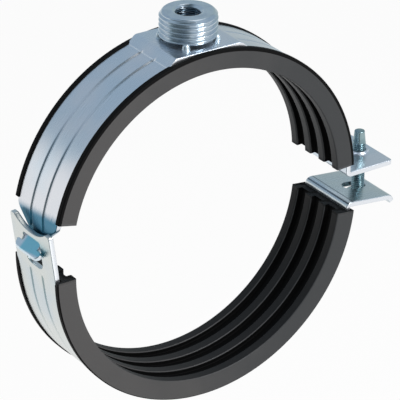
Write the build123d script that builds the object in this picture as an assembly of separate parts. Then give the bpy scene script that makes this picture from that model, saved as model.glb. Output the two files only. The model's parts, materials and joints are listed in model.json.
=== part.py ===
from build123d import *
from math import acos, asin, atan2, cos, degrees, hypot, radians, sin, tan
import os

# Two-piece pipe clamp of zinc-plated strip with a ribbed rubber lining, millimetres.
# Frame: origin on the pipe's axis, +Y along the pipe, +X towards the clamp screw, +Z up the hanger thread.
# The lower half is drawn shut and then swung about the hinge to the rest opening.

# ---- pipe seat and rubber lining
seat_radius = 56.6          # inner radius of the rubber, on the rib crests
rib_height = 2.0
rib_count = 4
rib_width = 3.8
lining_floor = 3.2          # rubber between the grooves' bottom and the band
lining_side = 1.5           # rubber outside each edge of the strip
lip_rise = 0.5              # the lips stand this far proud of the band
lip_wrap = 0.7              # and fold this far in over the band's face
rib_round = 0.5

# ---- strip
sheet = 2.0
band_width = 26.0
bead_place = 4.0            # two pressed lines, this far from the middle of the band
bead_radius = 0.9
bead_depth = 0.45
bead_stop = 1.0             # degrees, the lines run out this far before a crease

# ---- seat of the hanger nut on the upper half
pad_length = 27.2
pad_level = 0.7             # flat top above the round of the band
pad_ramp = 2.8

# ---- upper ear
ear_level = 0.3             # top of the upper ear above the pipe's axis
ear_reach = 19.2            # from the band's round to the ear's end
ear_bend = 2.2              # bend radius of the ears, on the middle of the sheet
ear_lead = 0.6              # straight run between the round and the ear's bend
collar_radius = 3.3
collar_rise = 0.8

# ---- lower half, shut
take_up = 3.2               # its centre stays this far below, left for a thinner pipe
side_play = 1.85            # and this far towards the screw, the play of the hooked hinge
ear_gap = 0.7               # between the ears when shut
lower_ear_droop = 0.5
lower_ear_lead = 3.1
lower_ear_reach = 19.9
lip_run = 1.5
lip_drop = 2.3
lip_bend = 1.4
hole_start = 7.6            # elongated hole of the lower ear, from the band's round
hole_end = 17.3
hole_width = 6.0

# ---- hooked hinge
hinge_out = 0.4             # axis beyond the band's round
hinge_height = 5.0
hinge_clearance = 0.25
tongue_inset = 1.3          # the tongue is set in from the band's round
tongue_slope = 45.0
crook_radius = 2.0
neck_width = 9.5
neck_height = 4.6
hook_width = 15.5
hook_reach = 6.6
hook_round = 1.6
hook_clearance = 0.45
slot_width = 10.8
slot_depth = 12.2
slot_round = 3.2
horn_rise = 5.9
horn_width = 2.8
saddle_rise = 2.1

# ---- hanger nut: G 1/2 outside, M10 inside
nut_radius = 10.4775
nut_thread_pitch = 1.814
nut_thread_depth = 0.9
nut_thread_crest = 0.36
nut_height = 9.5
nut_chamfer = 1.3
nut_bore_radius = 4.25
nut_bore_chamfer = 0.6
weld_gap = 1.0
weld_count = 4
weld_radius = 1.5
weld_foot_radius = 1.05
weld_root = 0.4             # their cores start this far inside the nut
weld_core_radius = 0.8
weld_clear = 0.1            # they end this far below what screws on
weld_turn = 52.0
weld_inset = 0.5

# ---- clamp screw, M5 pan head
screw_radius = 2.5
screw_length = 25.0
pilot_radius = 1.95
pilot_length = 4.6
screw_clearance = 0.05
screw_place = 13.4          # axis from the band's round
head_radius = 4.5
head_height = 3.5
head_round = 1.7
head_gap = 0.75             # below the lower ear on the axis, so the tilted ear stays clear
recess_width = 1.2
recess_length = 5.0
recess_depth = 2.0

# ---- motion, degrees about the hinge
rest_opening = 4.4

# ---- lining ends, degrees about each half's centre, from +X towards +Z
upper_lining_from = 3.5
upper_lining_to = 167.2
lower_lining_from = 184.4   # drawn shut
lower_lining_to = 358.1

# ---- worked out
lining_width = band_width + 2 * lining_side
band_inner = seat_radius + rib_height + lining_floor
band_mid = band_inner + sheet / 2
band_outer = band_inner + sheet
lip_radius = band_outer + lip_rise
ear_mid = ear_level - sheet / 2
screw_x = band_outer + screw_place
hinge = (-(band_outer + hinge_out), hinge_height)
lower_centre = (side_play, -take_up)
bar_radius = sheet / 2


def polar(radius, angle, centre=(0, 0)):
    """Point at an angle in degrees from +X towards +Z, in the XZ drawing plane."""
    return (centre[0] + radius * cos(radians(angle)), centre[1] + radius * sin(radians(angle)))


def turned(point, angle, about=hinge):
    """A drawing-plane point turned about the hinge, positive closes the clamp."""
    dx, dz = point[0] - about[0], point[1] - about[1]
    c, s = cos(radians(angle)), sin(radians(angle))
    return (about[0] + c * dx - s * dz, about[1] + s * dx + c * dz)


def thickened(edge):
    """One straight or round run of the sheet, with the sheet's thickness about its middle line."""
    sides = []
    for side in (-1, 1):
        points = []
        for share in (0, 0.5, 1):
            along = edge % share
            points.append(edge @ share + Vector(-along.Y, along.X) * side * sheet / 2)
        straight = edge.geom_type == GeomType.LINE
        sides.append(Line(points[0], points[2]) if straight else ThreePointArc(*points))
    ends = [Line(sides[0] @ share, sides[1] @ share) for share in (0, 1)]
    return make_face([side.edges()[0] for side in sides] + [end.edges()[0] for end in ends])


def folded_strip(edges):
    """Strip of the sheet's thickness and the band's width along a drawn middle line."""
    profile = thickened(edges[0])
    for before, edge in zip(edges, edges[1:]):
        profile += Pos(*(before @ 1)) * Circle(sheet / 2)
        profile += thickened(edge)
    return extrude(Plane.XZ * profile, amount=band_width / 2, both=True)


def swept_round(section, start, end, centre):
    """A section drawn at radius X, width Y, swept between two angles about a half's axis."""
    axis = Axis((0, 0, 0), (0, -1, 0))
    body = revolve(Plane.XY * section, axis=axis, revolution_arc=end - start)
    return Pos(centre[0], 0, centre[1]) * Rot(Y=-start) * body


def bead_round(start, end, centre):
    """Cutters for the two pressed lines round a half."""
    radius = band_outer + bead_radius - bead_depth
    circles = [Pos(radius, side * bead_place) * Circle(bead_radius) for side in (-1, 1)]
    return [swept_round(circle, start, end, centre) for circle in circles]


def bead_straight(start, end):
    """Cutters for the two pressed lines along a straight run of the strip's outer face."""
    run = hypot(end[0] - start[0], end[1] - start[1])
    along = ((end[0] - start[0]) / run, (end[1] - start[1]) / run)
    outward = (-along[1], along[0])
    shift = sheet / 2 + bead_radius - bead_depth
    base = (start[0] + outward[0] * shift, start[1] + outward[1] * shift)
    bars = []
    for side in (-1, 1):
        plane = Plane(origin=(base[0], side * bead_place, base[1]), z_dir=(along[0], 0, along[1]))
        bars.append(extrude(plane * Circle(bead_radius), amount=run))
    return bars


# ---- upper band: hooked tongue, round, raised seat for the nut, round, ear
slope = (cos(radians(tongue_slope)), sin(radians(tongue_slope)))
hook_offset = bar_radius + hinge_clearance + sheet / 2
hook_root = (hinge[0] + slope[1] * hook_offset, hinge[1] - slope[0] * hook_offset)
hook_end = (hook_root[0] - slope[0] * hook_reach, hook_root[1] - slope[1] * hook_reach)
tongue_x = -(band_mid - tongue_inset)
crook = (tongue_x, hook_root[1] + (tongue_x - hook_root[0]) * slope[1] / slope[0])
tongue_top = (tongue_x, (band_mid ** 2 - tongue_x ** 2) ** 0.5)
tongue_angle = degrees(atan2(tongue_top[1], tongue_top[0]))

pad_mid = band_outer + pad_level - sheet / 2
pad_half = pad_length / 2
crease_half = pad_half + pad_ramp
crease_angle = degrees(acos(crease_half / band_mid))
ear_start_angle = degrees(asin((ear_mid + ear_bend + ear_lead) / band_mid))
ear_root = polar(band_mid, ear_start_angle)
ear_end = (band_outer + ear_reach, ear_mid)

left_crease = polar(band_mid, 180 - crease_angle)
left_middle = polar(band_mid, (tongue_angle + 180 - crease_angle) / 2)
right_crease = polar(band_mid, crease_angle)
right_middle = polar(band_mid, (crease_angle + ear_start_angle) / 2)
upper_path = [
    *FilletPolyline(hook_end, crook, tongue_top, radius=crook_radius).edges(),
    ThreePointArc(tongue_top, left_middle, left_crease).edges()[0],
    *Polyline(left_crease, (-pad_half, pad_mid), (pad_half, pad_mid), right_crease).edges(),
    ThreePointArc(right_crease, right_middle, ear_root).edges()[0],
    *FilletPolyline(ear_root, (ear_root[0], ear_mid), ear_end, radius=ear_bend).edges(),
]
upper_band = folded_strip(upper_path)

# The tongue narrows to a neck that passes the slot, and ends in a wider hook outside it.
far = band_outer * 2
half_band = band_width / 2
plate_reach = hypot(lower_centre[0] - hinge[0], lower_centre[1] - hinge[1])
plate_lean = 90 - degrees(asin(band_mid / plate_reach) - atan2(lower_centre[1] - hinge[1],
                                                                 lower_centre[0] - hinge[0]))
rest_lean = plate_lean - rest_opening
lean = (cos(radians(rest_lean)), sin(radians(rest_lean)))
plate_face = sheet / 2 + hook_clearance
face_point = (hinge[0] - lean[0] * plate_face, hinge[1] - lean[1] * plate_face)


def on_face(height):
    """Point of the plane that the hook's shoulders stop at, by height."""
    return (face_point[0] - (height - face_point[1]) * tan(radians(rest_lean)), height)


deep = -slot_depth
neck_side = Polyline(on_face(neck_height), on_face(deep), (-seat_radius, deep), (-seat_radius, neck_height),
                     close=True)
hook_side = Polyline(on_face(neck_height), on_face(deep), (-far, deep), (-far, neck_height), close=True)
for side in (-1, 1):
    taper = Polyline((side * half_band, tongue_top[1]), (side * neck_width / 2, neck_height),
                     (side * far, neck_height), (side * far, tongue_top[1]), close=True)
    upper_band -= Pos(-seat_radius, 0, 0) * extrude(Plane.YZ * make_face(taper), amount=-far)
    for outline, width in ((neck_side, neck_width), (hook_side, hook_width)):
        cutter = extrude(Plane.XZ * make_face(outline), amount=far)
        upper_band -= Pos(0, side * width / 2 + (far if side > 0 else 0), 0) * cutter

straight_edges = upper_band.edges().filter_by(GeomType.LINE)
hook_tips = straight_edges.filter_by(lambda edge: abs(edge.length - sheet) < 0.01).sort_by(Axis.X)[:2]
upper_band = fillet(hook_tips, hook_round)

for cutter in (bead_round(180 - crease_angle + bead_stop, tongue_angle, (0, 0))
               + bead_round(ear_start_angle, crease_angle - bead_stop, (0, 0))
               + bead_straight((tongue_x, neck_height + sheet), tongue_top)):
    upper_band -= cutter

# Drawn-up threaded collar in the ear.
collar_top = ear_level + collar_rise
upper_band += Pos(screw_x, 0, (ear_mid + collar_top) / 2) * Cylinder(collar_radius, collar_top - ear_mid)
thread_hole = Cylinder(screw_radius + screw_clearance, 4 * sheet)
upper_band -= Pos(screw_x, 0, ear_mid) * thread_hole

# ---- lower band, drawn shut: saddle plate, tangent round, ear with a turned-down lip
up = (-sin(radians(plate_lean)), cos(radians(plate_lean)))
plate_top = (hinge[0] + up[0] * horn_rise, hinge[1] + up[1] * horn_rise)
tangent_angle = 180 + plate_lean
plate_foot = polar(band_mid, tangent_angle, lower_centre)
lower_ear_mid = ear_level - sheet - ear_gap - sheet / 2
lower_ear_rise = lower_ear_mid - ear_bend - lower_ear_lead - lower_centre[1]
lower_ear_angle = 360 + degrees(asin(lower_ear_rise / band_mid))
lower_ear_root = polar(band_mid, lower_ear_angle, lower_centre)
lower_ear_end = (band_outer + lower_ear_reach, lower_ear_mid - lower_ear_droop)
lip_end = (lower_ear_end[0] + lip_run, lower_ear_end[1] - lip_drop)
lower_middle = polar(band_mid, (tangent_angle + lower_ear_angle) / 2, lower_centre)
lower_path = [
    *Polyline(plate_top, plate_foot).edges(),
    ThreePointArc(plate_foot, lower_middle, lower_ear_root).edges()[0],
    *FilletPolyline(lower_ear_root, (lower_ear_root[0], lower_ear_mid), lower_ear_end, lip_end,
                    radius=[ear_bend, lip_bend]).edges(),
]
lower_band = folded_strip(lower_path)

plate_plane = Plane(origin=(hinge[0], 0, hinge[1]), x_dir=(0, -1, 0), z_dir=(-up[1], 0, up[0]))
saddle = make_face([
    Spline((-half_band + horn_width, horn_rise), (0, saddle_rise), (half_band - horn_width, horn_rise),
           tangents=((0.5, -1), (0.5, 1))).edges()[0],
    *Polyline((half_band - horn_width, horn_rise), (half_band - horn_width, 2 * horn_rise),
              (-half_band + horn_width, 2 * horn_rise), (-half_band + horn_width, horn_rise)).edges(),
])
slot = Pos(0, -slot_depth / 2) * RectangleRounded(slot_width, slot_depth, slot_round)
slot += Pos(0, -slot_depth / 4) * Rectangle(slot_width, slot_depth / 2)
for opening in (saddle, slot):
    lower_band -= extrude(plate_plane * opening, amount=2 * sheet, both=True)
bar = Cylinder(bar_radius, slot_width, rotation=(90, 0, 0))
lower_band += Pos(hinge[0], 0, hinge[1]) * bar

hole_length = hole_end - hole_start
hole_middle = band_outer + (hole_start + hole_end) / 2
screw_hole = Pos(hole_middle, 0, lower_ear_mid) * SlotOverall(hole_length, hole_width)
lower_band -= extrude(screw_hole, amount=2 * sheet, both=True)

slot_foot = (hinge[0] - up[0] * (slot_depth + sheet), hinge[1] - up[1] * (slot_depth + sheet))
for cutter in (bead_round(tangent_angle, lower_ear_angle, lower_centre)
               + bead_straight(plate_foot, slot_foot)):
    lower_band -= cutter

# ---- rubber lining: ribs inside, a channel outside that takes the band's edges
rib_pitch = (lining_width - rib_width) / (rib_count - 1)
half_lining = lining_width / 2
groove_floor = seat_radius + rib_height
lining_section = Rectangle(lip_radius - seat_radius, lining_width)
lining_section = Pos((lip_radius + seat_radius) / 2, 0) * lining_section
groove_width = rib_pitch - rib_width
for i in range(rib_count - 1):
    middle = -half_lining + rib_width + groove_width / 2 + i * rib_pitch
    lining_section -= Pos(groove_floor - rib_height / 2, middle) * Rectangle(rib_height, groove_width)
window = band_width - 2 * lip_wrap
lining_section -= Pos((band_inner + lip_radius) / 2, 0) * Rectangle(lip_radius - band_inner, window)
lining_section -= Pos(band_mid, 0) * Rectangle(sheet, band_width)
crests = [v for v in lining_section.vertices() if v.X < groove_floor + 0.01]
lining_section = fillet(crests, rib_round)

upper_lining = swept_round(lining_section, upper_lining_from, upper_lining_to, (0, 0)) - upper_band
lower_lining = swept_round(lining_section, lower_lining_from, lower_lining_to, lower_centre) - lower_band

# ---- hanger nut, welded to the raised seat at its projections
pad_top = band_outer + pad_level
nut_foot = pad_top + weld_gap
nut_top = nut_foot + nut_height
turns = int((nut_height - nut_chamfer) / nut_thread_pitch)
root = nut_radius - nut_thread_depth
profile = [(nut_bore_radius, nut_foot), (nut_radius, nut_foot)]
first_turn = nut_foot + (nut_height - nut_chamfer - turns * nut_thread_pitch) / 2
for i in range(turns):
    level = first_turn + i * nut_thread_pitch
    profile += [(nut_radius, level + nut_thread_crest / 2), (root, level + nut_thread_pitch / 2),
                (nut_radius, level + nut_thread_pitch - nut_thread_crest / 2)]
profile += [(nut_radius, nut_top - nut_chamfer), (nut_radius - nut_chamfer, nut_top),
            (nut_bore_radius + nut_bore_chamfer, nut_top), (nut_bore_radius, nut_top - nut_bore_chamfer)]
boss_nut = revolve(Plane.XZ * make_face(Polyline(*profile, close=True)), axis=Axis.Z)
weld_circle = nut_radius - weld_inset
core_circle = weld_circle - weld_core_radius     # the cores stay inside the thread
for i in range(weld_count):
    angle = radians(weld_turn + i * 360 / weld_count)
    place = Pos(weld_circle * cos(angle), weld_circle * sin(angle), pad_top)
    boss_nut += place * Cone(weld_foot_radius, weld_radius, weld_gap - weld_clear,
                             align=(Align.CENTER, Align.CENTER, Align.MIN))
    place = Pos(core_circle * cos(angle), core_circle * sin(angle), pad_top + weld_gap / 2)
    boss_nut += place * Cylinder(weld_core_radius, weld_gap / 2 + weld_root,
                                 align=(Align.CENTER, Align.CENTER, Align.MIN))

# ---- clamp screw: head under the lower ear, pilot tip above the collar
ear_inner = turned((lower_ear_root[0], lower_ear_mid - sheet / 2), -rest_opening)
ear_outer = turned((lower_ear_end[0], lower_ear_end[1] - sheet / 2), -rest_opening)
ear_fall = (ear_outer[1] - ear_inner[1]) / (ear_outer[0] - ear_inner[0])
head_seat = ear_inner[1] + (screw_x - ear_inner[0]) * ear_fall - head_gap
screw_tip = head_seat + screw_length
shank = Pos(screw_x, 0, head_seat) * Cylinder(screw_radius, screw_length - pilot_length,
                                              align=(Align.CENTER, Align.CENTER, Align.MIN))
pilot = Pos(screw_x, 0, screw_tip - pilot_length) * Cone(screw_radius, pilot_radius, pilot_length,
                                                         align=(Align.CENTER, Align.CENTER, Align.MIN))
head = Pos(screw_x, 0, head_seat) * Cylinder(head_radius, head_height,
                                             align=(Align.CENTER, Align.CENTER, Align.MAX))
head = fillet(head.edges().sort_by(Axis.Z)[0], head_round)
cross = Box(recess_length, recess_width, recess_depth) + Box(recess_width, recess_length, recess_depth)
head -= Pos(screw_x, 0, head_seat - head_height + recess_depth / 2) * cross
clamp_screw = shank + pilot + head

# ---- swing the lower half to its rest opening
hinge_axis = Axis((hinge[0], 0, hinge[1]), (0, 1, 0))
lower_band = lower_band.rotate(hinge_axis, rest_opening)
lower_lining = lower_lining.rotate(hinge_axis, rest_opening)
# The rib ends by the hinge are eased to the pipe's round, which they would press before the clamp shuts.
lower_lining -= Rot(X=90) * Cylinder(seat_radius, 2 * lining_width)

nodes = {
    "upper_band": upper_band,
    "boss_nut": boss_nut,
    "upper_lining": upper_lining,
    "lower_band": lower_band,
    "lower_lining": lower_lining,
    "clamp_screw": clamp_screw,
}
os.makedirs("parts", exist_ok=True)
for name, shape in nodes.items():
    export_step(shape, f"parts/{name}.step")
    box = shape.bounding_box()
    print(name, len(shape.solids()), round(shape.volume, 1), box.min, box.max)
print("hinge", hinge, "head seat", round(head_seat, 3), "tip", round(screw_tip, 3), "nut top", nut_top)
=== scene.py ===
import json
from math import acos, asin, atan2, ceil, cos, degrees, hypot, pi, radians, sin, sqrt, tan

import bpy
import numpy as np
from mathutils import Matrix, Vector
from mathutils.geometry import delaunay_2d_cdt


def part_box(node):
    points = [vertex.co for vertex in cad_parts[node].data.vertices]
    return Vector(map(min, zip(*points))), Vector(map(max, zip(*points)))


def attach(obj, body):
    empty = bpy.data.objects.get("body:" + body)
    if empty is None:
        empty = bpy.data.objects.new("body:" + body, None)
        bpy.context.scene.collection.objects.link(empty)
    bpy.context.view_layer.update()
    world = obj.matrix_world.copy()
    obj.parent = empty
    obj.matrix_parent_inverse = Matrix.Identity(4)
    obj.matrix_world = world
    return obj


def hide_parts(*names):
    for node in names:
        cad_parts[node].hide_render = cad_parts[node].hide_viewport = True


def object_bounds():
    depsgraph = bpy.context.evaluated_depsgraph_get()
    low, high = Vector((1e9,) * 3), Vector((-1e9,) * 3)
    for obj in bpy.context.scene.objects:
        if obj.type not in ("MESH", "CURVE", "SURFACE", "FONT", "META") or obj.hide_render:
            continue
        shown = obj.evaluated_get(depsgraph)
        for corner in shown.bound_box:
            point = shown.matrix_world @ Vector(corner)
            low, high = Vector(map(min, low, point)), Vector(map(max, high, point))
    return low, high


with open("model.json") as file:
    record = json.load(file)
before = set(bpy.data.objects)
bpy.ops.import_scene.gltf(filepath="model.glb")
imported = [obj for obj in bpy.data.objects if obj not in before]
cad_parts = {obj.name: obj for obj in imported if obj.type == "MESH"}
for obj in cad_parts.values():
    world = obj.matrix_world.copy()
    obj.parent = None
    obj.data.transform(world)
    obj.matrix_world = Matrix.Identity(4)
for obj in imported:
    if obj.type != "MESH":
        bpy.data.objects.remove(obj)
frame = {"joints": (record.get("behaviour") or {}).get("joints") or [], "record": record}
cad_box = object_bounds()


# ---- hanger nut
# Steel bar turned on a lathe, with a G 1/2 pipe thread cut outside and M10 tapped through it, then zinc
# plated. It stands on four weld projections, so a dark gap is left under its rim.
mm = 0.001
mounts = {mount["name"]: mount for mount in frame["record"]["mounts"]}
nut_bottom = 65.5
nut_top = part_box("boss_nut")[1].z / mm
nut_radius = mounts["hanger_outer_thread"]["dims"]["r_mm"]
nut_pitch = 1.814
nut_thread_depth = 0.9
nut_lead = 1.25             # chamfer at the top
nut_foot_lead = 0.6
nut_edge = 0.15
nut_sides = 144
tap_radius = mounts["hanger_thread"]["dims"]["r_mm"]
tap_pitch = 1.5
tap_depth = 0.72
tap_mouth = 5.15
thread_step = 0.07          # between the turned rows of a wall that gets a thread
bore_radii = (4.6, 5.4)     # the bore's painted shade is full inside the first and gone past the second,
bore_heights = (73.5, 74.3)     # and full below the first of these and gone above the second
# painted shade: the colour that the nut's bore is darkened to
bore_shade_colour = (0.11, 0.16, 0.20, 1.0)


class Wire:
    """A socket of a node tree: arithmetic on it adds Math nodes, and node() adds any other node."""

    def __init__(self, tree, socket=None):
        self.tree, self.socket = tree, socket

    def node(self, kind, settings=None, inputs=None, out=0):
        """Adds a node: its settings first, then the values or links of its sockets."""
        made = self.tree.nodes.new(kind)
        for name, value in (settings or {}).items():
            if name == "stops":
                ramp = made.color_ramp.elements
                while len(ramp) < len(value):
                    ramp.new(0.5)
                for element, (place, colour) in zip(ramp, value):
                    element.position, element.color = place, (*colour, 1.0)
            else:
                setattr(made, name, value)
        for name, value in (inputs or {}).items():
            for one in value if isinstance(value, list) else [value]:
                if isinstance(one, Wire):
                    self.tree.links.new(one.socket, made.inputs[name])
                else:
                    made.inputs[name].default_value = one
        return Wire(self.tree, made.outputs[out])

    def out(self, name):
        """Another output of the same node."""
        return Wire(self.tree, self.socket.node.outputs[name])

    def math(self, operation, other=0.0):
        return self.node("ShaderNodeMath", {"operation": operation}, {0: self, 1: other})

    def __add__(self, other):
        return self.math("ADD", other)

    def __sub__(self, other):
        return self.math("SUBTRACT", other)

    def __rsub__(self, other):
        return self.node("ShaderNodeMath", {"operation": "SUBTRACT"}, {0: other, 1: self})

    def __mul__(self, other):
        return self.math("MULTIPLY", other)

    def __truediv__(self, other):
        return self.math("DIVIDE", other)

    def __rtruediv__(self, other):
        return self.node("ShaderNodeMath", {"operation": "DIVIDE"}, {0: other, 1: self})

    __radd__ = __add__
    __rmul__ = __mul__

    def between(self, low, high):
        """0 below low, 1 above high, smooth between."""
        return self.node("ShaderNodeMapRange", {"interpolation_type": "SMOOTHSTEP"},
                         {"Value": self, "From Min": low, "From Max": high})

    def noise(self, scale, detail=3.0):
        """Noise at this place."""
        return self.node("ShaderNodeTexNoise", {}, {"Vector": self, "Scale": scale, "Detail": detail}, "Fac")

    def stretched(self, scale):
        """This place, scaled along each axis."""
        return self.node("ShaderNodeMapping", {}, {"Vector": self, "Scale": scale})

    def axis(self, name):
        """One of this vector's X, Y and Z."""
        return self.node("ShaderNodeSeparateXYZ", {}, {0: self}, name)

    def dot(self, direction):
        """How far this vector lies along a direction."""
        return self.node("ShaderNodeVectorMath", {"operation": "DOT_PRODUCT"},
                         {0: self, 1: direction}, "Value")

    def mix(self, first, second):
        """A colour between two, by this share."""
        return self.node("ShaderNodeMix", {"data_type": "RGBA"}, {0: self, 6: first, 7: second}, out=2)

    def mix_shader(self, first, second):
        """A shader between two, by this share."""
        return self.node("ShaderNodeMixShader", {}, {0: self, 1: first, 2: second})

    def ends(self, output="ShaderNodeOutputMaterial"):
        """Ends the tree in this shader."""
        self.tree.links.new(self.socket, self.tree.nodes.new(output).inputs["Surface"])


def new_finish(name):
    """An empty material, and a wire to start its tree with."""
    material = bpy.data.materials.new(name)
    material.use_nodes = True
    material.node_tree.nodes.clear()
    return material, Wire(material.node_tree)


def turned_zinc_and_painted_bore_shade(name, tint, dark_tint, roughness):
    """Zinc plating on a turned piece: a cloudy tint, a fine crystalline grain, and painted shade that darkens
    the bore.
    """
    material, wire = new_finish(name)
    place = wire.node("ShaderNodeTexCoord", out="Object")
    cloud = place.noise(260.0)
    grain = place.noise(3200.0, 2.0)
    plated = cloud.between(0.35, 0.68).mix((*tint, 1.0), (*dark_tint, 1.0))
    flat = place.stretched((1.0, 1.0, 0.0))
    from_axis = flat.node("ShaderNodeVectorMath", {"operation": "LENGTH"}, {0: flat}, "Value")
    low, high = (height * mm for height in bore_heights)
    inner, outer = (radius * mm for radius in bore_radii)
    # painted shade: darkens the base colour near the axis, low in the nut's bore
    painted_bore_shade = (1.0 - from_axis.between(inner, outer)) * (1.0 - place.axis("Z").between(low, high))
    wire.node("ShaderNodeBsdfPrincipled", {}, {
        "Base Color": painted_bore_shade.mix(plated, bore_shade_colour),
        "Metallic": 1.0,
        "Roughness": cloud * 0.1 + roughness,
        "Normal": wire.node("ShaderNodeBump", {}, {"Height": grain, "Strength": 0.04, "Distance": 0.00003}),
    }).ends()
    return material


def chain(name, points):
    """A chain of edges for a node tree to work on. Points are in millimetres."""
    mesh = bpy.data.meshes.new(name)
    edges = [(i, i + 1) for i in range(len(points) - 1)]
    mesh.from_pydata([(x * mm, y * mm, 0) for x, y in points], edges, [])
    piece = bpy.data.objects.new(name, mesh)
    bpy.context.scene.collection.objects.link(piece)
    return piece


def stepped(points, step):
    """The same line with more points, no further apart than the step."""
    line = [points[0]]
    for (x0, y0), (x1, y1) in zip(points, points[1:]):
        count = max(1, ceil(hypot(x1 - x0, y1 - y0) / step))
        line += [(x0 + (x1 - x0) * i / count, y0 + (y1 - y0) * i / count) for i in range(1, count + 1)]
    return line


def faces_outward(mesh):
    """Turns a closed mesh the right way out."""
    mesh.calc_loop_triangles()
    points = np.array([v.co for v in mesh.vertices])
    corners = np.array([t.vertices for t in mesh.loop_triangles])
    a, b, c = points[corners[:, 0]], points[corners[:, 1]], points[corners[:, 2]]
    if np.einsum("ij,ij->i", a, np.cross(b, c)).sum() < 0:
        mesh.flip_normals()


def made_by(tree, blank, values, matrix=Matrix.Identity(4)):
    """Runs a node tree on a blank and puts a plain mesh object in its place."""
    modifier = blank.modifiers.new(tree.name, "NODES")
    modifier.node_group = tree
    for item in tree.interface.items_tree:
        if item.in_out == "INPUT" and item.name in values:
            modifier[item.identifier] = values[item.name]
    evaluated = blank.evaluated_get(bpy.context.evaluated_depsgraph_get())
    mesh = bpy.data.meshes.new_from_object(evaluated)
    name = blank.name
    bpy.data.objects.remove(blank)
    mesh.transform(matrix)
    faces_outward(mesh)
    mesh.shade_smooth()
    piece = bpy.data.objects.new(name, mesh)
    bpy.context.scene.collection.objects.link(piece)
    return piece


def new_tree(name, inputs):
    """A geometry tree with named inputs, and a wire to its Group Input."""
    tree = bpy.data.node_groups.new(name, "GeometryNodeTree")
    tree.interface.new_socket("Geometry", in_out="INPUT", socket_type="NodeSocketGeometry")
    for label, kind in inputs.items():
        tree.interface.new_socket(label, in_out="INPUT", socket_type="NodeSocket" + kind)
    tree.interface.new_socket("Geometry", in_out="OUTPUT", socket_type="NodeSocketGeometry")
    return tree, Wire(tree).node("NodeGroupInput")


def end_tree(geometry, finish):
    """Realize Instances, Set Material and the tree's output."""
    real = geometry.node("GeometryNodeRealizeInstances", {}, {"Geometry": geometry})
    coated = real.node("GeometryNodeSetMaterial", {}, {"Geometry": real, "Material": finish})
    output = geometry.tree.nodes.new("NodeGroupOutput")
    geometry.tree.links.new(coated.socket, output.inputs[0])


# Turning: spins a line drawn at (radius, height) about Z, cuts a thread outside and taps one inside,
# and closes the two ends of a part turn.
turning, given = new_tree("turning", {
    "Steps": "Int", "From": "Float", "Turn": "Float", "Part turn": "Bool",
    "Thread pitch": "Float", "Thread radius": "Float", "Thread depth": "Float",
    "Thread from": "Float", "Thread to": "Float",
    "Tap pitch": "Float", "Tap radius": "Float", "Tap depth": "Float", "Finish": "Material"})
drawn = given.out("Geometry")
rows = drawn.node("GeometryNodeAttributeDomainSize", {"component": "MESH"}, {"Geometry": drawn},
                  "Point Count")
index = given.node("GeometryNodeInputIndex")
column = (index / rows).math("FLOOR")
row_place = given.node("GeometryNodeSampleIndex", {"data_type": "FLOAT_VECTOR"}, {
    "Geometry": drawn, "Value": given.node("GeometryNodeInputPosition"), "Index": index - column * rows})
blank_radius, height = row_place.axis("X"), row_place.axis("Y")
turn_angle = given.out("From") + given.out("Turn") * column / given.out("Steps")


def helix_cut(pitch):
    """0 on a thread's crest to 1 at its root."""
    phase = (height / given.out(pitch) - turn_angle / (2 * pi)).math("FRACT")
    slope = 1.0 - (phase * 2.0 - 1.0).math("ABSOLUTE")
    return slope.between(0.06, 0.94)


def round_place(radius, height, angle):
    """A position from a radius, a height and an angle about Z."""
    return radius.node("ShaderNodeCombineXYZ", {}, {
        "X": radius * angle.math("COSINE"), "Y": radius * angle.math("SINE"), "Z": height})


threaded = given.out("Thread radius") - helix_cut("Thread pitch") * given.out("Thread depth")
past_foot = height.math("GREATER_THAN", given.out("Thread from"))
in_thread = past_foot * height.math("LESS_THAN", given.out("Thread to"))
cut_radius = blank_radius + (blank_radius.math("MINIMUM", threaded) - blank_radius) * in_thread
tapped = given.out("Tap radius") + (1.0 - helix_cut("Tap pitch")) * given.out("Tap depth")
final_radius = cut_radius.math("MAXIMUM", tapped)
grid = given.node("GeometryNodeMeshGrid", {}, {"Vertices X": given.out("Steps") + 1.0, "Vertices Y": rows})
spun = grid.node("GeometryNodeSetPosition", {}, {
    "Geometry": grid, "Position": round_place(final_radius, height, turn_angle)})
filled = drawn.node("GeometryNodeFillCurve", {}, {
    "Curve": drawn.node("GeometryNodeMeshToCurve", {}, {"Mesh": drawn})})
cap_at = given.node("GeometryNodeInputPosition")
caps = []
for end_angle in (given.out("From"), given.out("From") + given.out("Turn")):
    caps.append(filled.node("GeometryNodeSetPosition", {}, {
        "Geometry": filled, "Position": round_place(cap_at.axis("X"), cap_at.axis("Y"), end_angle)}))
caps[1] = caps[1].node("GeometryNodeFlipFaces", {}, {"Mesh": caps[1]})
both_caps = given.node("GeometryNodeSwitch", {"input_type": "GEOMETRY"}, {
    "Switch": given.out("Part turn"), "True": given.node("GeometryNodeJoinGeometry", {}, {"Geometry": caps})})
joined = given.node("GeometryNodeJoinGeometry", {}, {"Geometry": [spun, both_caps]})
end_tree(given.node("GeometryNodeMergeByDistance", {}, {"Geometry": joined, "Distance": 0.000002}),
         given.out("Finish"))

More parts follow.
